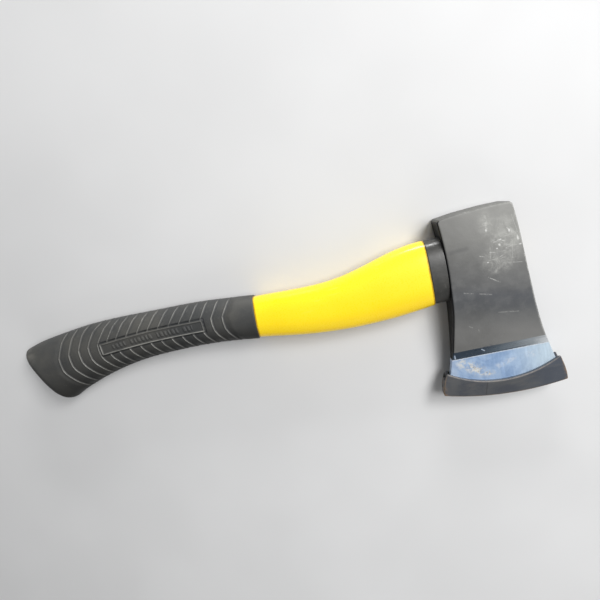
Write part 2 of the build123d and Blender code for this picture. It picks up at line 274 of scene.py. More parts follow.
def head_material():
    k = Mat("painted_steel_head", rough=0.42, specular=0.5)
    flat = k.v("MULTIPLY", k.obj, (1, 1, 0))
    front = k.step(k.z, 0.0128, 0.0132)
    # height across the bit, in the bit's own slightly leaning frame
    yt = k.m("ADD", k.m("ADD", k.m("MULTIPLY", k.x, -math.sin(BIT_TILT)),
                        k.m("MULTIPLY", k.m("SUBTRACT", k.y, PIVOT_Y), math.cos(BIT_TILT))), PIVOT_Y)
    ragged = k.m("MULTIPLY", k.m("SUBTRACT", k.noise(420, 4, 0.65), 0.5), 0.0009)
    yp = k.m("ADD", yt, ragged)

    nx, ny, nz_ = k.facing()
    nz = k.m("ABSOLUTE", nz_)
    # --- paint, greyer and duller near the poll and towards the bit, partly worn paint and partly painted light; darkest and bluish over the hollow, a painted shade and reflection
    broad = k.noise(28, 3, 0.55)
    mottle = k.noise(160, 4, 0.6)
    speck = k.noise(1500, 3, 0.7)
    lean = k.m("ADD", k.y, k.m("MULTIPLY", k.x, 0.24))
    paint = k.ramp(k.step(lean, -0.064, 0.036, smooth=False), [
        (0.00, (0.138, 0.137, 0.132)), (0.14, (0.142, 0.141, 0.136)), (0.25, (0.104, 0.105, 0.104)),
        (0.33, (0.074, 0.077, 0.081)), (0.41, (0.067, 0.070, 0.076)), (0.48, (0.072, 0.073, 0.074)),
        (0.62, (0.084, 0.084, 0.081)), (0.80, (0.140, 0.139, 0.130)), (1.00, (0.165, 0.164, 0.153)),
    ])
    # painted light: the cheek grows lighter towards the right, where the light falls; the broad noise is uneven paint
    paint = k.dim(paint, k.m("ADD", k.step(broad, 0.3, 0.7, 0.90, 1.08), k.step(k.x, -0.030, 0.030, -0.07, 0.16)))
    paint = k.mix(k.step(mottle, 0.4, 0.7, 0.0, 0.22), paint, (0.16, 0.16, 0.155))
    paint = k.mix(k.step(speck, 0.62, 0.72, 0.0, 0.22), paint, (0.24, 0.24, 0.235))

    # --- handling scuffs on the toe side of the cheek
    zone = k.any([k.blob(flat, (18, 14), 17, 24, 0.95), k.blob(flat, (10, 0), 16, 14, 0.95), k.blob(flat, (7, 25), 9, 13, 0.95)])
    cloud = k.step(k.noise(150, 5, 0.66, 0.5), 0.38, 0.68)
    wisp = k.step(k.noise(420, 5, 0.72, 0.8), 0.52, 0.70)
    fine1 = k.step(k.noise(640, 3, 0.6, 0.2, vec=k.mapped((1.0, 0.10, 1.0), (0, 0, 0.30))), 0.62, 0.72)
    fine2 = k.step(k.noise(820, 3, 0.6, 0.2, vec=k.mapped((0.10, 1.0, 1.0), (0, 0, -0.12))), 0.61, 0.70)
    fine3 = k.step(k.noise(760, 3, 0.6, 0.2, vec=k.mapped((0.12, 1.0, 1.0), (0, 0, 0.75)), w=None), 0.63, 0.72)
    hair = fine2
    lines = k.m("ADD", k.m("MULTIPLY", fine1, 0.30), k.m("ADD", k.m("MULTIPLY", fine2, 0.42), k.m("MULTIPLY", fine3, 0.34)))
    scuff = k.m("MULTIPLY", zone, k.m("ADD", k.m("MULTIPLY_ADD", cloud, 0.66, 0.18), k.m("ADD", k.m("MULTIPLY", wisp, 0.42), lines)), clamp=True)
    cuts = [
        k.segment(flat, (1.1, -10.1), (7.8, -15.2), 0.42),
        k.segment(flat, (8.8, 12.3), (14.0, 13.4), 0.42), k.segment(flat, (12.2, 13.6), (16.3, 11.2), 0.50),
        k.segment(flat, (23.0, 11.0), (25.4, 10.6), 0.45), k.segment(flat, (19.0, 19.6), (21.6, 16.4), 0.5),
        k.segment(flat, (-1.4, 5.3), (1.2, 4.3), 0.42), k.segment(flat, (5.3, 6.2), (8.6, 5.4), 0.42),
        k.segment(flat, (12.4, 9.8), (13.0, 9.2), 0.85), k.segment(flat, (16.0, 6.4), (20.4, 7.6), 0.4),
        k.segment(flat, (9.6, 1.2), (13.8, 2.6), 0.4),
    ]
    faint = [
        k.segment(flat, (-6.5, -20.0), (0.9, -22.4), 0.62, 0.9),
        k.segment(flat, (-16.6, -16.9), (-10.7, -18.8), 0.62, 0.9), k.segment(flat, (3.7, -36.5), (16.6, -39.0), 0.60, 0.9),
        k.segment(flat, (-17.3, -42.2), (-15.2, -43.6), 0.55, 0.9), k.segment(flat, (-11.5, -46.2), (-11.3, -47.8), 0.55, 0.9),
        k.segment(flat, (7.2, 30.4), (6.3, 21.6), 1.0, 0.95), k.segment(flat, (20.7, 18.2), (23.4, 15.2), 1.6, 0.95),
        k.segment(flat, (9.5, 13.3), (16.8, 9.0), 1.6, 0.95), k.segment(flat, (7.9, -6.0), (6.6, -7.4), 1.4, 0.95),
        k.segment(flat, (21.8, 17.3), (19.0, -1.0), 0.35), k.segment(flat, (6.3, 10.7), (4.9, 0.7), 0.35),
        k.segment(flat, (14.5, -3.1), (24.2, -5.2), 0.35), k.segment(flat, (23.4, 27.0), (25.0, 15.0), 0.35),
    ]
    specks = k.any([
        k.blob(flat, (13.3, 12.9), 1.1, 0.7), k.blob(flat, (12.2, 9.8), 0.9, 0.9), k.blob(flat, (20.0, 17.5), 0.9, 1.6),
        k.blob(flat, (24.4, 11.4), 0.8, 2.4), k.blob(flat, (5.7, 21.2), 0.8, 1.2), k.blob(flat, (10.3, 7.6), 0.8, 0.6),
        k.blob(flat, (25.2, 6.8), 1.2, 0.6), k.blob(flat, (2.8, -0.2), 0.9, 0.6),
    ])
    broken = k.step(k.noise(700, 3, 0.6), 0.36, 0.56)
    mark = k.m("MULTIPLY", k.m("MULTIPLY", k.any([k.any(cuts), k.m("MULTIPLY", k.any(faint), 0.5)]), broken), front)
    # the other cheek has its own light handling marks
    back = k.m("SUBTRACT", 1.0, front)
    zone_b = k.any([k.blob(flat, (-4, 10), 20, 16, 0.9), k.blob(flat, (10, -26), 15, 14, 0.9)])
    scuff_b = k.m("MULTIPLY", k.m("MULTIPLY", zone_b, back), k.m("ADD", k.m("MULTIPLY", cloud, 0.3), k.m("MULTIPLY", hair, 0.35)), clamp=True)
    scuffs = k.m("ADD", k.m("MULTIPLY", k.m("MULTIPLY", scuff, front), 0.80), scuff_b, clamp=True)
    paint = k.mix(scuffs, paint, (0.38, 0.38, 0.355))
    paint = k.mix(k.m("MULTIPLY", mark, 0.50), paint, (0.48, 0.48, 0.455))
    nicked = k.m("MULTIPLY", k.m("MULTIPLY", specks, front), k.step(k.noise(900, 3, 0.6, 0.3), 0.30, 0.50, 0.25, 0.75))
    paint = k.mix(nicked, paint, (0.56, 0.56, 0.54))
    smudge = k.m("MULTIPLY", k.segment(flat, (-19.9, 12.3), (-8.8, 12.6), 2.4, 0.95), front)
    paint = k.mix(k.m("MULTIPLY", smudge, 0.30), paint, (0.03, 0.03, 0.032))

    # --- painted shade: the narrow sides nearly black, as they lie in shadow
    side = k.m("MULTIPLY", k.any([k.step(nz, 0.62, 0.30), k.m("MULTIPLY", k.step(nz, 0.94, 0.80), k.step(nx, -0.12, -0.3))]), k.step(ny, 0.75, 0.45))
    paint = k.mix(k.m("MULTIPLY", side, 0.96), paint, (0.006, 0.007, 0.009))
    # painted shade: the poll face darkened, as the light falls strongly on it
    poll = k.m("MULTIPLY", k.step(ny, 0.55, 0.80), k.step(nz, 0.9, 0.6))
    paint = k.mix(k.m("MULTIPLY", poll, 0.90), paint, k.dim(paint, 0.72))
    # painted shade: the rounded edge between the poll and the cheek darkened against its highlight
    top_rim_painted_shade = k.m("MULTIPLY", k.m("MULTIPLY", k.step(ny, 0.12, 0.30), k.step(ny, 0.92, 0.75)), k.step(nz, 0.99, 0.90))
    paint = k.mix(k.m("MULTIPLY", top_rim_painted_shade, 0.9), paint, k.dim(paint, 0.78))
    # --- paint worn thin along the rounded arrises, lighter on the right edge and along the poll's edge: partly wear, partly painted highlight
    rim = k.m("MULTIPLY", k.step(nz, 0.30, 0.60), k.step(nz, 0.985, 0.90))
    rim = k.m("MULTIPLY", rim, k.step(yt, BAND_Y - 0.001, BAND_Y + 0.001))
    rim = k.m("MULTIPLY", rim, k.step(k.noise(340, 4, 0.7), 0.40, 0.62, 0.25, 1.0))
    rim = k.m("MULTIPLY", rim, k.step(nx, -0.2, 0.35, 0.0, 1.0))
    paint = k.mix(k.m("MULTIPLY", rim, 0.65), paint, (0.36, 0.36, 0.34))
    poll_rim = k.m("MULTIPLY", k.m("MULTIPLY", k.step(ny, 0.2, 0.5), k.step(nz, 0.15, 0.5)), k.step(k.noise(210, 3, 0.6), 0.52, 0.66))
    paint = k.mix(k.m("MULTIPLY", poll_rim, 0.22), paint, (0.34, 0.34, 0.32))

    # --- glossy band above the bevel; its colour, dark navy at the left to light grey at the right and lighter lower down, is a painted reflection
    band = k.step(yt, BAND_Y + 0.0002, BAND_Y - 0.0002)
    band_painted_reflection = k.ramp(k.step(k.x, -0.033, 0.034, smooth=False), [
        (0.00, (0.018, 0.032, 0.052)), (0.28, (0.022, 0.036, 0.056)), (0.48, (0.072, 0.094, 0.116)),
        (0.66, (0.135, 0.158, 0.180)), (0.84, (0.250, 0.275, 0.295)), (1.00, (0.480, 0.500, 0.515)),
    ])
    lower = k.step(yt, BAND_Y, BEVEL_Y, 0.85, 1.15, smooth=False)
    band_painted_reflection = k.dim(band_painted_reflection, lower)
    band_painted_reflection = k.mix(k.step(k.noise(600, 3, 0.6), 0.55, 0.75, 0.0, 0.25), band_painted_reflection, (0.16, 0.165, 0.17))
    drawn = k.noise(900, 3, 0.6, 0.0, vec=k.mapped((0.05, 1.0, 1.0), (0, 0, BIT_TILT)))
    band_painted_reflection = k.mix(k.step(drawn, 0.50, 0.66, 0.0, 0.40), band_painted_reflection, k.dim(band_painted_reflection, 0.45))
    band_painted_reflection = k.mix(k.step(drawn, 0.46, 0.32, 0.0, 0.35), band_painted_reflection, k.dim(band_painted_reflection, 1.6))
    foot = k.m("MULTIPLY", k.step(yt, BEVEL_Y + 0.0013, BEVEL_Y + 0.0003), k.step(k.x, 0.030, 0.008))
    band_painted_reflection = k.mix(k.m("MULTIPLY", foot, 0.75), band_painted_reflection, (0.024, 0.036, 0.052))
    band_front = k.m("MULTIPLY", band, k.step(nz, 0.4, 0.7))
    paint = k.mix(k.m("MULTIPLY", band_front, 0.95), paint, band_painted_reflection)
    scrawl = k.m("MULTIPLY", k.m("MULTIPLY", k.blob(flat, (-5.5, -61.4), 8.5, 2.6, 0.7), k.step(k.noise(700, 4, 0.7, 0.6), 0.46, 0.58)), front)
    paint = k.mix(k.m("MULTIPLY", scrawl, 0.55), paint, (0.040, 0.046, 0.062))

    # --- ground bevel; its blue tint and its lightening towards the right are painted reflection
    grind = k.noise(900, 3, 0.55, 0.0, vec=k.mapped((1.0, 0.05, 1.0), (0, 0, 0.03)))
    haze = k.noise(85, 5, 0.62, 0.9)
    steel = k.mix(k.step(haze, 0.36, 0.64), (0.335, 0.490, 0.750), (0.475, 0.640, 0.885))
    steel = k.mix(k.step(k.x, 0.000, 0.034, 0.0, 0.9), steel, (0.74, 0.89, 1.0))
    steel = k.mix(k.step(grind, 0.35, 0.65, 0.0, 0.05), steel, (0.62, 0.74, 0.92))
    clean = k.m("MULTIPLY", k.step(yt, BEVEL_Y - 0.0011, BEVEL_Y - 0.0003), k.step(k.noise(260, 3, 0.6), 0.28, 0.48, 0.3, 1.0))
    steel = k.mix(k.m("MULTIPLY", clean, 0.65), steel, (0.92, 0.95, 0.98))
    flank = k.m("MULTIPLY", k.any([k.step(k.x, -0.0295, -0.0330), k.step(k.x, 0.0325, 0.0362)]), 0.20)
    steel = k.mix(flank, steel, (0.92, 0.96, 1.0))
    blotch = k.step(k.noise(330, 6, 0.75, 0.9), 0.42, 0.56)
    st = k.any([k.segment(flat, (-27.0, -70.5), (-15.5, -79.5), 6.5, 0.95), k.blob(flat, (-9.5, -82.5), 6, 4, 0.9), k.blob(flat, (-26, -73), 6, 5, 0.9)])
    st = k.any([k.m("MULTIPLY", st, front), k.m("MULTIPLY", k.blob(flat, (13, -75), 11, 5, 0.9), back)])
    stain = k.m("MULTIPLY", st, blotch)
    steel = k.mix(k.m("MULTIPLY", stain, 0.85), steel, (0.80, 0.76, 0.66))
    smear = k.m("MULTIPLY", k.any([k.segment(flat, (-3.0, -78.6), (9.0, -74.6), 3.2, 0.95), k.blob(flat, (22, -74), 8, 4, 0.95)]), k.step(k.noise(300, 4, 0.65, 0.5), 0.42, 0.60))
    steel = k.mix(k.m("MULTIPLY", smear, 0.50), steel, (0.88, 0.92, 0.98))
    rust = k.m("MULTIPLY", k.any([k.segment(flat, (-23.0, -73.5), (-16.5, -78.6), 3.4, 0.95), k.blob(flat, (-11, -82.4), 5, 2.6, 0.9)]), k.step(k.noise(420, 4, 0.7), 0.50, 0.62))
    rust = k.m("MULTIPLY", rust, front)
    steel = k.mix(k.m("MULTIPLY", rust, 0.55), steel, (0.40, 0.31, 0.19))
    bare = k.step(yp, BEVEL_Y + 0.00015, BEVEL_Y - 0.00015)
    chips = k.any([k.segment(flat, (-11.7, -62.2), (-9.9, -63.8), 0.50, 0.6), k.segment(flat, (-31.0, -63.0), (-30.9, -65.4), 0.65, 0.6)])
    chips = k.m("MULTIPLY", k.m("MULTIPLY", chips, 0.7), front)
    bare = k.any([bare, chips])
    colour = k.mix(bare, paint, steel)
    k.color(colour)

    k.metal(k.m("MULTIPLY", bare, 0.62))
    k.put(k.sh.inputs["Specular IOR Level"], k.m("SUBTRACT", 0.5, k.m("MULTIPLY", side, 0.38)))
    r_paint = k.step(mottle, 0.3, 0.7, 0.40, 0.52, smooth=False)
    r_paint = k.m("ADD", r_paint, k.m("MULTIPLY", scuffs, 0.15))
    r_paint = k.m("SUBTRACT", r_paint, k.m("MULTIPLY", band, 0.16))
    r_paint = k.m("ADD", r_paint, k.m("MULTIPLY", k.step(ny, 0.15, 0.6), 0.22))
    r_steel = k.m("ADD", k.step(grind, 0.3, 0.7, 0.36, 0.50, smooth=False), k.m("MULTIPLY", stain, 0.2))
    rmix = k.nt.nodes.new("ShaderNodeMix")
    k.put(rmix.inputs[0], bare)
    k.link(r_paint, rmix.inputs[2])
    k.link(r_steel, rmix.inputs[3])
    k.rough(rmix.outputs[0])

    orange_peel = k.noise(1100, 2, 0.5)
    forged = k.noise(95, 3, 0.5)
    h = k.m("ADD", k.m("MULTIPLY", orange_peel, 0.10), k.m("MULTIPLY", forged, 0.9))
    h = k.m("SUBTRACT", h, k.m("MULTIPLY", mark, 0.35))
    h = k.m("MULTIPLY", h, k.m("SUBTRACT", 1.0, k.m("MULTIPLY", bare, 0.85)))
    h = k.m("ADD", h, k.m("MULTIPLY", k.m("MULTIPLY", grind, bare), 0.035))
    h = k.m("SUBTRACT", h, k.m("MULTIPLY", bare, 0.22))
    k.normal(k.bump(h, 0.35, 0.0006))
    return k.mat


def jacket_material():
    k = Mat("yellow_moulded_jacket", rough=0.34, specular=0.45, coat=0.30, coat_rough=0.16)
    broad = k.noise(22, 2, 0.5)
    fine = k.noise(900, 3, 0.6)
    col = k.mix(k.step(broad, 0.35, 0.65), (0.940, 0.685, 0.010), (0.955, 0.715, 0.014))
    # painted light: lighter towards the upper right, where the light falls
    col = k.mix(k.step(k.m("ADD", k.x, k.m("MULTIPLY", k.y, 1.5)), -0.110, -0.030, 0.0, 0.8), col, (0.965, 0.760, 0.030))
    # painted shade: richer orange low down, where the section turns under
    col = k.mix(k.step(k.z, 0.016, 0.004, 0.0, 0.45), col, (0.95, 0.54, 0.003))
    flow = k.noise(60, 3, 0.55, 0.4, vec=k.mapped((0.25, 1.0, 1.0)))
    col = k.mix(k.step(flow, 0.55, 0.75, 0.0, 0.12), col, (0.96, 0.74, 0.03))
    nx, ny, nz = k.facing()
    # painted shade: richer orange on the faces turned down in y
    under = k.step(ny, 0.15, -0.80)
    col = k.mix(k.m("MULTIPLY", under, 0.55), col, (0.97, 0.60, 0.003))
    # painted shade: dark brown lines on the jacket at the two seams, where the grip and the collar meet it
    s1 = k.m("ADD", k.m("MULTIPLY", k.m("ADD", k.x, 0.1632), 0.9943), k.m("MULTIPLY", k.m("SUBTRACT", k.y, 0.01715), -0.1061))
    s1 = k.m("SUBTRACT", s1, k.m("MULTIPLY", k.step(k.m("ABSOLUTE", k.m("SUBTRACT", k.z, 0.013)), 0.0, 0.0123), 0.0011))
    s2 = k.m("ADD", k.m("MULTIPLY", k.m("ADD", k.x, 0.0344), 0.9992), k.m("MULTIPLY", k.m("SUBTRACT", k.y, 0.0236), -0.0393))
    seam_painted_shade = k.any([k.step(s1, 0.0015, 0.0007), k.step(s2, -0.0011, -0.0005)])
    seam_painted_shade = k.m("MULTIPLY", seam_painted_shade, k.step(k.noise(400, 3, 0.6), 0.30, 0.55, 0.55, 1.0))
    col = k.mix(k.m("MULTIPLY", seam_painted_shade, 0.75), col, (0.30, 0.12, 0.004))
    specks = k.step(k.voronoi(420), 0.055, 0.035)
    specks = k.m("MULTIPLY", specks, k.step(k.noise(60, 2, 0.5, w=3.0), 0.52, 0.62))
    col = k.mix(k.m("MULTIPLY", specks, 0.25), col, (0.45, 0.26, 0.02))
    hair = k.step(k.noise(800, 3, 0.6, 0.1, vec=k.mapped((0.07, 1.0, 1.0), (0, 0, 0.12))), 0.66, 0.74)
    col = k.mix(k.m("MULTIPLY", hair, 0.10), col, (1.0, 0.85, 0.35))
    # mould parting line round the middle plane
    part = k.step(k.m("ABSOLUTE", k.m("SUBTRACT", k.z, 0.013)), 0.00028, 0.00012)
    k.color(col)
    k.rough(k.m("ADD", k.step(fine, 0.3, 0.7, 0.24, 0.34, smooth=False), k.m("MULTIPLY", hair, 0.15)))
    h = k.m("ADD", k.m("MULTIPLY", k.noise(700, 2, 0.5), 0.07), k.m("MULTIPLY", part, 0.5))
    h = k.m("ADD", h, k.m("MULTIPLY", broad, 0.8))
    k.normal(k.bump(h, 0.22, 0.0004))
    return k.mat


def grip_material():
    k = Mat("ribbed_rubber_grip", rough=0.62, specular=0.42)
    broad = k.noise(30, 4, 0.6)
    fine = k.noise(750, 4, 0.7)
    grain = k.noise(2600, 2, 0.6)
    col = k.mix(k.step(broad, 0.35, 0.68), (0.030, 0.031, 0.031), (0.046, 0.045, 0.041))
    col = k.mix(k.step(fine, 0.5, 0.75, 0.0, 0.4), col, (0.062, 0.061, 0.056))
    # lighter crests and dark roots of the ribs, from a tone stored on the mesh: the crests partly polish and dust,
    # partly painted highlight; the roots painted shade
    at = k.nt.nodes.new("ShaderNodeAttribute")
    at.attribute_name = "rib_light_and_shade"
    crest = k.step(at.outputs["Fac"], 0.66, 0.98)
    root = k.step(at.outputs["Fac"], 0.58, 0.0, smooth=False)
    # the crests' lightening is uneven, and stronger on the lower side of the grip, where it is a painted highlight
    crest_wear_and_highlight = k.m("MULTIPLY", k.step(k.noise(120, 3, 0.6), 0.25, 0.6, 0.50, 1.0), k.step(k.y, 0.020, -0.004, 0.65, 1.0))
    col = k.mix(k.m("MULTIPLY", k.m("MULTIPLY", crest, crest_wear_and_highlight), 0.85), col, (0.235, 0.230, 0.212))
    col = k.mix(k.m("MULTIPLY", root, 0.9), col, (0.008, 0.009, 0.010))
    # brownish and greyish blooms at the butt
    flat = k.v("MULTIPLY", k.obj, (1, 1, 0))
    patch = k.step(k.noise(70, 4, 0.65, 0.5), 0.40, 0.65)
    bloom = k.m("MULTIPLY", k.blob(flat, (-340, -25), 15, 12, 0.9), patch)
    col = k.mix(k.m("MULTIPLY", bloom, 0.45), col, (0.105, 0.060, 0.040))
    pale = k.m("MULTIPLY", k.blob(flat, (-353, 17), 14, 10, 0.9), patch)
    col = k.mix(k.m("MULTIPLY", pale, 0.45), col, (0.110, 0.105, 0.092))
    nx, ny, nz = k.facing()
    # painted light and shade: darker where the surface faces down, lighter towards the top edge where the sheen falls
    col = k.dim(col, k.m("MULTIPLY", k.step(ny, -0.75, 0.15, 0.45, 1.0), k.step(k.y, -0.024, 0.020, 0.78, 1.68)))
    dust = k.m("MULTIPLY", k.step(k.noise(1400, 3, 0.7), 0.66, 0.74), 0.3)
    col = k.mix(dust, col, (0.22, 0.21, 0.19))
    k.color(col)
    k.rough(k.m("ADD", k.step(fine, 0.3, 0.7, 0.52, 0.66, smooth=False), k.m("MULTIPLY", crest, -0.08)))
    h = k.m("ADD", k.m("MULTIPLY", grain, 0.25), k.m("MULTIPLY", fine, 0.5))
    k.normal(k.bump(h, 0.30, 0.00025))
    return k.mat


def guard_material():
    k = Mat("rubber_blade_guard", rough=0.55, specular=0.45)
    broad = k.noise(55, 4, 0.62, 0.3)
    fine = k.noise(800, 4, 0.7)
    along = k.noise(300, 3, 0.6, 0.2, vec=k.mapped((0.2, 1.0, 1.0)))
    col = k.mix(k.step(broad, 0.35, 0.66), (0.041, 0.045, 0.054), (0.066, 0.068, 0.070))
    # painted reflection: bluer towards the right
    col = k.mix(k.step(k.x, -0.005, 0.042, 0.0, 0.7), col, (0.050, 0.060, 0.080))
    col = k.mix(k.step(along, 0.52, 0.7, 0.0, 0.38), col, (0.090, 0.086, 0.082))
    nx_, ny_, nz_ = k.facing()
    nz = k.m("ABSOLUTE", nz_)
    edge = k.m("MULTIPLY", k.step(nz, 0.15, 0.45), k.step(nz, 0.985, 0.90))
    wear = k.m("MULTIPLY", edge, k.step(k.noise(240, 4, 0.7), 0.32, 0.56, 0.25, 1.0))
    lip = k.step(ny_, 0.05, 0.35)
    col = k.mix(k.m("MULTIPLY", wear, 0.78), col, k.mix(lip, (0.23, 0.155, 0.085), (0.180, 0.155, 0.135)))
    ends = k.any([k.step(k.x, -0.0405, -0.0445), k.step(k.x, 0.0390, 0.0425)])
    ends = k.m("MULTIPLY", ends, k.step(k.noise(330, 4, 0.7), 0.42, 0.60))
    col = k.mix(k.m("MULTIPLY", ends, 0.6), col, (0.24, 0.15, 0.085))
    flat = k.v("MULTIPLY", k.obj, (1, 1, 0))
    # a crease, bumped in and also darkened in colour as painted shade
    crease = k.segment(flat, (-12.8, -88.6), (-15.3, -97.1), 0.7, 0.8)
    col = k.mix(k.m("MULTIPLY", crease, 0.5), col, (0.02, 0.02, 0.022))
    dust = k.step(k.noise(1200, 3, 0.7), 0.64, 0.72)
    col = k.mix(k.m("MULTIPLY", dust, 0.25), col, (0.26, 0.25, 0.23))
    k.color(col)
    k.rough(k.step(fine, 0.3, 0.7, 0.46, 0.62, smooth=False))
    h = k.m("ADD", k.m("MULTIPLY", fine, 0.5), k.m("MULTIPLY", k.noise(2400, 2, 0.6), 0.2))
    h = k.m("SUBTRACT", h, k.m("MULTIPLY", crease, 0.8))
    k.normal(k.bump(h, 0.30, 0.0003))
    return k.mat


def collar_material():
    k = Mat("black_neck_collar", rough=0.38, specular=0.7)
    broad = k.noise(60, 3, 0.55)
    fine = k.noise(900, 3, 0.65)
    col = k.mix(k.step(broad, 0.35, 0.65), (0.024, 0.024, 0.022), (0.042, 0.041, 0.037))
    col = k.mix(k.step(fine, 0.58, 0.75, 0.0, 0.35), col, (0.070, 0.068, 0.060))
    hair = k.step(k.noise(1000, 3, 0.6, 0.1, vec=k.mapped((1.0, 0.10, 1.0), (0, 0, 0.1))), 0.64, 0.74)
    col = k.mix(k.m("MULTIPLY", hair, 0.35), col, (0.14, 0.14, 0.13))
    k.color(col)
    k.rough(k.step(fine, 0.3, 0.7, 0.27, 0.38, smooth=False))
    k.normal(k.bump(k.m("ADD", k.m("MULTIPLY", fine, 0.4), broad), 0.18, 0.0003))
    return k.mat


def core_material():
    k = Mat("fibreglass_core", rough=0.55, specular=0.5)
    strands = k.noise(1300, 3, 0.6, 0.1, vec=k.mapped((1.0, 1.0, 1.0)))
    clump = k.voronoi(900)
    col = k.mix(k.step(strands, 0.35, 0.68), (0.30, 0.25, 0.12), (0.58, 0.50, 0.30))
    col = k.mix(k.step(clump, 0.30, 0.05, 0.0, 0.5), col, (0.70, 0.64, 0.46))
    col = k.mix(k.step(k.noise(150, 3, 0.6), 0.55, 0.75, 0.0, 0.5), col, (0.16, 0.12, 0.06))
    k.color(col)
    k.rough(k.step(strands, 0.3, 0.7, 0.45, 0.65, smooth=False))
    k.normal(k.bump(k.m("ADD", strands, clump), 0.4, 0.0003))
    return k.mat


def resin_material():
    k = Mat("eye_resin", rough=0.28, specular=0.55)
    swirl = k.noise(140, 4, 0.6, 1.2)
    bubble = k.step(k.voronoi(700), 0.16, 0.10)
    col = k.mix(k.step(swirl, 0.35, 0.7), (0.020, 0.018, 0.016), (0.065, 0.052, 0.036))
    col = k.mix(k.m("MULTIPLY", bubble, 0.4), col, (0.16, 0.13, 0.09))
    k.color(col)
    k.rough(k.step(swirl, 0.3, 0.7, 0.20, 0.40, smooth=False))
    h = k.m("SUBTRACT", swirl, k.m("MULTIPLY", bubble, 0.6))
    k.normal(k.bump(h, 0.5, 0.0005))
    return k.mat


def wedge_material():
    k = Mat("steel_wedge", rough=0.4, metallic=0.9)
    brush = k.noise(900, 3, 0.6, 0.0, vec=k.mapped((1.0, 0.08, 1.0)))
    col = k.mix(k.step(brush, 0.35, 0.65), (0.30, 0.30, 0.31), (0.50, 0.50, 0.50))
    rust = k.step(k.noise(300, 4, 0.7, 0.6), 0.56, 0.68)
    col = k.mix(k.m("MULTIPLY", rust, 0.5), col, (0.20, 0.11, 0.05))
    k.color(col)
    k.metal(k.step(rust, 0.0, 1.0, 0.9, 0.3))
    k.rough(k.step(brush, 0.3, 0.7, 0.34, 0.5, smooth=False))
    k.normal(k.bump(brush, 0.3, 0.0002))
    return k.mat


# ------------------------------------------------------------------ rubber grip
MID_Z = 13.0
END_T, END_B = (-358.0, 20.5), (-336.4, -30.1)
TOP_DIR, BOT_DIR = (0.973, 0.232), (0.908, 0.419)
_l = math.hypot(END_T[0] - END_B[0], END_T[1] - END_B[1])
UP = ((END_T[0] - END_B[0]) / _l, (END_T[1] - END_B[1]) / _l)
IN = (UP[1], -UP[0])
WALL = 3.2
BOW = 1.3


def inset(d, r):
    return 0.0 if d >= r else r - math.sqrt(max(r * r - (r - d) ** 2, 0.0))


def butt_row(d, b=12.9):
    t = d / (TOP_DIR[0] * IN[0] + TOP_DIR[1] * IN[1])
    s = d / (BOT_DIR[0] * IN[0] + BOT_DIR[1] * IN[1])
    it, ib = inset(d, 5.6), inset(d, 12.0)
    return (
        END_T[0] + TOP_DIR[0] * t - UP[0] * it, END_T[1] + TOP_DIR[1] * t - UP[1] * it,
        END_B[0] + BOT_DIR[0] * s + UP[0] * ib, END_B[1] + BOT_DIR[1] * s + UP[1] * ib,
        b - inset(d, 6.5), 2.45,
    )


GRIP_BODY = [
    (-333.0, 25.3, -315.0, -21.0, 12.9, 2.45),
    (-318.0, 26.6, -304.0, -17.8, 12.85, 2.42),
    (-304.0, 27.6, -294.0, -15.2, 12.7, 2.4),
    (-287.0, 27.8, -281.0, -12.6, 12.5, 2.4),
    (-268.0, 27.1, -265.0, -10.4, 12.3, 2.4),
    (-247.0, 25.8, -246.0, -9.4, 12.1, 2.4),
    (-226.0, 24.5, -228.0, -9.6, 12.0, 2.4),
    (-205.0, 22.9, -209.0, -10.4, 12.0, 2.4),
    (-185.0, 20.4, -189.0, -12.4, 12.1, 2.4),
    (-163.2, 17.15, -166.7, -15.65, 12.3, 2.4),
]


def spline_rows(rows, ts):
    """Natural cubic spline through the rows, by distance between their middles."""
    rows = np.array(rows, float)
    mid = np.stack([(rows[:, 0] + rows[:, 2]) / 2, (rows[:, 1] + rows[:, 3]) / 2], 1)
    u = np.concatenate([[0], np.cumsum(np.maximum(np.hypot(*np.diff(mid, axis=0).T), 0.05))])
    n = len(u)
    h = np.diff(u)
    A = np.zeros((n, n))
    A[0, 0] = A[-1, -1] = 1
    for i in range(1, n - 1):
        A[i, i - 1], A[i, i], A[i, i + 1] = h[i - 1], 2 * (h[i - 1] + h[i]), h[i]
    out = []
    ts = np.asarray(ts) * u[-1] if ts is not None else u
    for c in range(rows.shape[1]):
        y = rows[:, c]
        b = np.zeros(n)
        b[1:-1] = 6 * ((y[2:] - y[1:-1]) / h[1:] - (y[1:-1] - y[:-2]) / h[:-1])
        M = np.linalg.solve(A, b)
        k = np.clip(np.searchsorted(u, ts) - 1, 0, n - 2)
        t0, t1 = u[k], u[k + 1]
        H = t1 - t0
        a, d = (t1 - ts) / H, (ts - t0) / H
        out.append(a * y[k] + d * y[k + 1] + ((a ** 3 - a) * M[k] + (d ** 3 - d) * M[k + 1]) * H * H / 6)
    return np.stack(out, 1), u


LINES = np.array([-324.0, -315.0, -306.0, -297.6, -289.3, -281.6, -274.0, -265.3, -256.3, -247.6, -239.0,
                  -230.4, -222.0, -213.5, -205.0, -196.2, -187.6])
G_V = [-26, -18, -9, -5, 0, 4.5, 10, 15, 19, 26]
G_X = [13.5, 7.5, 1.8, 0.3, 0, 0.4, 4.5, 8.0, 12.5, 20.0]
C_X = [-345, -324, -305, -287, -268, -247, -226, -205, -185, -165]
C_Y = [-1.0, 4.2, 6.8, 7.6, 8.1, 8.2, 7.4, 6.2, 4.3, 1.5]
PANEL = (-287.6, -203.2, -4.5, 4.5)


def smooth01(t):
    t = np.clip(t, 0, 1)
    return t * t * (3 - 2 * t)


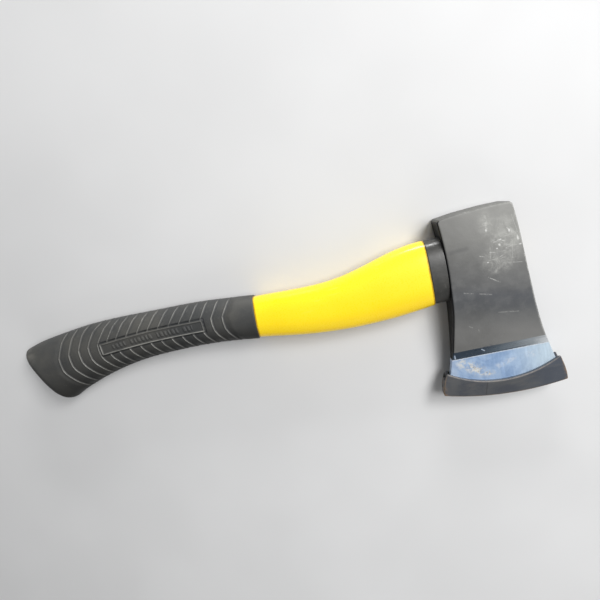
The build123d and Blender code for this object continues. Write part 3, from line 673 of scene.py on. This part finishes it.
def rib_height(x, y):
    """Height of the moulded pattern in mm, 0 at the crests and negative below, with a 0..1 tone map: painted highlight
    on the crests, painted shade beside the lines, round the panel and round the pips.
    """
    v = y - np.interp(x, C_X, C_Y)
    lean = np.where(v > 0, np.interp(x, [-330, -298, -284, -215, -196], [0.60, 0.72, 1.0, 1.0, 0.78]), 1.0)
    s = x - np.interp(v, G_V, G_X) * lean
    pitch = np.gradient(LINES)
    ph = np.interp(s, LINES, np.arange(len(LINES)), left=-9, right=99)
    before = s < LINES[0]
    after = s > LINES[-1]
    ph = np.where(before, (s - LINES[0]) / pitch[0], ph)
    ph = np.where(after, len(LINES) - 1 + (s - LINES[-1]) / pitch[-1], ph)
    f = ph - np.floor(ph)
    # a narrow rounded ridge at each line, a shallow groove on its front side, an even ground between
    low, high = 0.78, 0.50
    tooth = np.where(f > 0.5, f - 1, f)
    ground = -low + (low - high) * smooth01((f - 0.10) / 0.62)
    end = len(LINES) - 1
    ground = np.where(ph < 0, -high * (1 - smooth01((-ph - 0.10) / 0.45)), ground)
    ground = np.where(ph > end, -low * (1 - smooth01((ph - end - 0.14) / 0.60)), ground)
    near = np.where(ph < 0, ph, np.where(ph > end, ph - end, tooth))
    bead = np.exp(-(near / 0.062) ** 2)
    d = ground * (1 - bead)
    crest = np.exp(-(near / 0.050) ** 2)
    # panel
    x0, x1, v0, v1 = PANEL
    ins = np.minimum(np.minimum(x - x0, x1 - x), np.minimum(v - v0, v1 - v))   # distance inside the frame
    floor = -0.62
    rim = np.exp(-((ins - 0.55) / 0.42) ** 2)
    inside = smooth01((ins - 0.2) / 0.5)
    groove = np.exp(-((ins + 0.75) / 0.45) ** 2) * (1 - 0.75 * bead)
    line = crest.copy()
    d = d * (1 - smooth01((ins + 0.9) / 0.5)) + floor * inside
    d = np.where(ins > -0.35, np.maximum(d, -0.02 + (floor - 0.02) * (1 - rim)), d)
    d = np.where((ins > -1.6) & (ins < -0.2), np.minimum(d, -0.95 * groove + d * (1 - groove)), d)
    crest = crest * (1 - smooth01((ins + 0.55) / 0.35))
    crest = np.maximum(crest, rim * (ins > -0.5) * 0.95)
    # generic pips along the panel floor
    u = (x - x0 - 9.0) / 3.1
    k = np.floor(u)
    fu = u - k - 0.5 + (v / 9.0) * 0.5
    odd = np.mod(k, 7)
    wide = 0.27 + 0.06 * np.mod(k * 5, 3)
    pip = smooth01((wide - np.abs(fu)) / 0.12) * smooth01((2.0 - np.abs(v)) / 0.35)
    pip = pip * (x > x0 + 9) * (x < x1 - 9) * (odd != 4) * (ins > 1.2)
    d = d + 0.34 * pip
    crest = np.maximum(crest, 0.22 * pip)
    halo = smooth01((wide + 0.16 - np.abs(fu)) / 0.12) * smooth01((2.5 - np.abs(v)) / 0.35)
    halo = halo * (x > x0 + 9) * (x < x1 - 9) * (odd != 4) * (ins > 1.0) * (1 - pip)
    # painted shade: dark lines beside each ridge, in the trench round the panel, over the panel floor and round the
    # pips
    dark = 0.42 * np.exp(-((near - 0.13) / 0.07) ** 2) * (ins < -1.2)
    trench = np.exp(-((ins + 0.85) / 0.60) ** 2)
    dark = np.maximum(dark, trench * (1 - rim) * (1 - 0.8 * line) * np.where(v > 0, 0.85, 0.65))
    dark = np.maximum(dark, 0.12 * inside * (1 - rim) * (1 - pip))
    dark = np.maximum(dark, 0.36 * halo)
    tone = np.clip(0.6 + 0.4 * crest - dark * (1 - crest), 0, 1)
    return d, tone


def build_grip():
    d_butt = [0.0, 0.45, 1.6, 3.6, 6.6, 10.0, 13.0]
    rows = [butt_row(d) for d in d_butt] + [r for r in GRIP_BODY]
    n_s, n_f = ((470, 168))
    dense = np.concatenate([np.linspace(0, 0.05, 26, endpoint=False) ** 1.0, np.linspace(0.05, 1, n_s)])
    R, _ = spline_rows(rows, dense)
    phi = np.linspace(0, 2 * math.pi, n_f, endpoint=False)
    cs, sn = np.cos(phi), np.sin(phi)

    def ring(row, shrink=0.0):
        tx, ty, bx, by, b, n = row
        L = math.hypot(tx - bx, ty - by)
        ux, uy = (tx - bx) / L, (ty - by) / L
        a = L / 2 - shrink
        b = b - shrink
        cx, cy = (tx + bx) / 2, (ty + by) / 2
        hh = a * np.sign(cs) * np.abs(cs) ** (2 / n)
        zz = b * np.sign(sn) * np.abs(sn) ** (2 / n)
        return np.stack([cx + ux * hh, cy + uy * hh, MID_Z + zz], 1)

    # spread the points evenly round each section
    def even(row, shrink=0.0):
        fine = np.linspace(0, 2 * math.pi, 1440, endpoint=False)
        tx, ty, bx, by, b, n = row
        L = math.hypot(tx - bx, ty - by)
        ux, uy = (tx - bx) / L, (ty - by) / L
        a = L / 2 - shrink
        b = b - shrink
        c, s = np.cos(fine), np.sin(fine)
        hh = a * np.sign(c) * np.abs(c) ** (2 / n)
        zz = b * np.sign(s) * np.abs(s) ** (2 / n)
        P = np.stack([hh, zz], 1)
        seg = np.hypot(*(np.roll(P, -1, 0) - P).T)
        cum = np.concatenate([[0], np.cumsum(seg)])
        t = np.linspace(0, cum[-1], n_f, endpoint=False)
        hh = np.interp(t, cum, np.append(hh, hh[0]))
        zz = np.interp(t, cum, np.append(zz, zz[0]))
        cx, cy = (tx + bx) / 2, (ty + by) / 2
        return np.stack([cx + ux * hh, cy + uy * hh, MID_Z + zz], 1)

    G = np.stack([even(r) for r in R])                       # outer skin, rows by points
    # outward normals from neighbours
    ds = np.gradient(G, axis=0)
    df = (np.roll(G, -1, 1) - np.roll(G, 1, 1)) / 2
    N = np.cross(ds, df)
    N /= np.maximum(np.linalg.norm(N, axis=2, keepdims=True), 1e-9)
    out = G - G.mean(1, keepdims=True)
    N *= np.sign((N * out).sum(2, keepdims=True) + 1e-12)
    # pattern only on the body, shallower where the section turns under
    d, tone = rib_height(G[:, :, 0], G[:, :, 1])
    turn = 0.22 + 0.78 * smooth01((np.abs(N[:, :, 2]) - 0.12) / 0.50)
    d = d * turn
    tone = 0.6 + (tone - 0.6) * (0.25 + 0.75 * turn)
    fade = smooth01((G[:, :, 0] + 344.0) / 6.0)
    d = d * fade
    # the front end bows forward over the jacket by up to BOW, most on the broad faces
    ahead = (G[-1] - G[-3])
    ahead /= np.linalg.norm(ahead, axis=1, keepdims=True)
    along = np.linalg.norm(G - G[-1][None], axis=2)
    push = BOW * smooth01(np.abs(G[-1][:, 2] - MID_Z) / 12.3)
    blend = smooth01(1 - along / 14.0)
    # the rounded lip at the front end
    lip = inset_array(along, 0.75)
    P = G + N * (d - lip)[:, :, None] + ahead[None] * (push[None] * blend)[:, :, None]
    tone = np.where(fade < 1, 0.6 + (tone - 0.6) * fade, tone)

    verts = [tuple(p) for ring_ in P for p in ring_]
    tones = list(tone.reshape(-1))
    ns = len(P)
    faces = []
    for i in range(ns - 1):
        for j in range(n_f):
            a, b = i * n_f + j, i * n_f + (j + 1) % n_f
            faces.append((a, b, b + n_f, a + n_f))
    # butt face: rings drawn in to the middle of the first row
    first = P[0]
    mid = first.mean(0)
    prev = list(range(n_f))
    for q in (0.86, 0.70, 0.52, 0.34, 0.17):
        start = len(verts)
        for p in first:
            w = mid + (p - mid) * q
            verts.append(tuple(w))
            tones.append(0.6)
        now = list(range(start, start + n_f))
        for j in range(n_f):
            faces.append((prev[(j + 1) % n_f], prev[j], now[j], now[(j + 1) % n_f]))
        prev = now
    verts.append(tuple(mid))
    tones.append(0.6)
    c = len(verts) - 1
    for j in range(n_f):
        faces.append((prev[(j + 1) % n_f], prev[j], c))
    # bore: the jacket's hidden surface, a hair outside it
    inner_rows = [rows[7 - 1]] + list(GRIP_BODY)
    inner_rows[0] = butt_row(14.5)
    I, _ = spline_rows(inner_rows, np.linspace(0, 1, 60))
    B = np.stack([even(r, WALL) for r in I])
    start = len(verts)
    for ring_ in B[::-1]:
        for p in ring_:
            verts.append(tuple(p))
            tones.append(0.6)
    # front face of the lip, its underside along the jacket, then the flat end round the bore
    nb = len(B)
    seat = even(GRIP_BODY[-1], 0.86)
    rings = [seat + ahead * push[:, None], seat]
    edge = [(ns - 1) * n_f + j for j in range(n_f)]
    for ring_ in rings:
        s0 = len(verts)
        for p in ring_:
            verts.append(tuple(p))
            tones.append(0.6)
        now = list(range(s0, s0 + n_f))
        for j in range(n_f):
            k = (j + 1) % n_f
            faces.append((edge[j], edge[k], now[k], now[j]))
        edge = now
    for j in range(n_f):
        k = (j + 1) % n_f
        faces.append((edge[j], edge[k], start + k, start + j))
    for i in range(nb - 1):
        for j in range(n_f):
            k = (j + 1) % n_f
            a = start + i * n_f
            faces.append((a + j, a + k, a + n_f + k, a + n_f + j))
    end = start + (nb - 1) * n_f
    verts.append(tuple(B[0].mean(0)))
    tones.append(0.6)
    c = len(verts) - 1
    for j in range(n_f):
        faces.append((end + j, end + (j + 1) % n_f, c))

    me = bpy.data.meshes.new("rubber_grip_ribbed")
    me.from_pydata([(x / 1000, y / 1000, z / 1000) for x, y, z in verts], [], faces)
    me.update()
    at = me.attributes.new("rib_light_and_shade", "FLOAT", "POINT")
    at.data.foreach_set("value", np.array(tones, dtype=np.float32))
    ob = bpy.data.objects.new("rubber_grip_ribbed", me)
    scene.collection.objects.link(ob)
    fix_normals(ob)
    shade(ob, 50)
    return ob


def inset_array(d, r):
    return np.where(d >= r, 0.0, r - np.sqrt(np.maximum(r * r - (r - np.minimum(d, r)) ** 2, 0.0)))


def fix_normals(ob):
    import bmesh
    bm = bmesh.new()
    bm.from_mesh(ob.data)
    bmesh.ops.recalc_face_normals(bm, faces=bm.faces)
    bm.to_mesh(ob.data)
    bm.free()


def shade(ob, angle=35):
    """Smooth shading with sharp edges over the given angle."""
    import bmesh
    bm = bmesh.new()
    bm.from_mesh(ob.data)
    lim = math.radians(angle)
    for f in bm.faces:
        f.smooth = True
    for e in bm.edges:
        e.smooth = not (len(e.link_faces) == 2 and e.calc_face_angle(0) > lim)
    bm.to_mesh(ob.data)
    bm.free()


grip = build_grip()
grip.data.materials.append(grip_material())
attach(grip, "main")
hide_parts("rubber_grip")

mats = {
    "axe_head": head_material(),
    "handle_jacket": jacket_material(),
    "blade_guard": guard_material(),
    "neck_collar": collar_material(),
    "handle_core": core_material(),
    "eye_resin": resin_material(),
    "eye_wedge": wedge_material(),
}
for node, mat in mats.items():
    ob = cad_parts[node]
    if not ob.material_slots:
        ob.data.materials.append(mat)
    for s in ob.material_slots:
        s.material = mat


# ------------------------------------------------------------------ floor, backdrop and light
def stage():
    rise, r = 1.4, 0.5
    prof = [(-5.0, 0.0), (1.1, 0.0)]
    for i in range(1, 13):
        a = math.radians(90 * i / 12)
        prof.append((1.1 + r * math.sin(a), r - r * math.cos(a)))
    prof.append((1.1 + r, rise))
    verts, faces = [], []
    for y, z in prof:
        verts += [(-5.0, y, z), (5.0, y, z)]
    for i in range(len(prof) - 1):
        faces.append((2 * i, 2 * i + 1, 2 * i + 3, 2 * i + 2))
    me = bpy.data.meshes.new("floor")
    me.from_pydata(verts, [], faces)
    me.update()
    for p in me.polygons:
        p.use_smooth = True
    ob = bpy.data.objects.new("floor", me)
    scene.collection.objects.link(ob)
    k = Mat("pale_floor", rough=0.85, specular=0.2)
    n = k.noise(8, 2, 0.5)
    k.color(k.mix(k.step(n, 0.3, 0.7), (0.60, 0.60, 0.60), (0.63, 0.63, 0.63)))
    me.materials.append(k.mat)
    ob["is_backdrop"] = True
    return ob


stage()


def area(name, loc, aim, size, power, colour=(1, 1, 1), size_y=None):
    l = bpy.data.lights.new(name, "AREA")
    l.energy = power
    l.color = colour
    l.size = size
    if size_y:
        l.shape = "RECTANGLE"
        l.size_y = size_y
    ob = bpy.data.objects.new(name, l)
    ob.location = loc
    ob.rotation_euler = (Vector(aim) - Vector(loc)).to_track_quat("-Z", "Y").to_euler()
    scene.collection.objects.link(ob)
    return ob


area("key", (0.62, 0.50, 0.85), (-0.08, 0, 0), 0.40, 9.0)
area("strip", (0.12, 0.92, 0.23), (-0.12, 0, 0.01), 0.45, 5.5, size_y=0.12)
area("top", (0.50, 0.16, 1.20), (-0.08, 0, 0), 0.55, 10.5)

fill = area("fill", (-0.05, -0.75, 0.40), (-0.10, 0, 0), 0.60, 1.3)
fill.visible_glossy = False

world = bpy.data.worlds.new("soft_room")
world.use_nodes = True
world.node_tree.nodes["Background"].inputs[0].default_value = (0.95, 0.97, 1.0, 1)
world.node_tree.nodes["Background"].inputs[1].default_value = 0.17
scene.world = world

{"cad": plain(cad_box), "visual": plain(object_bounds())}
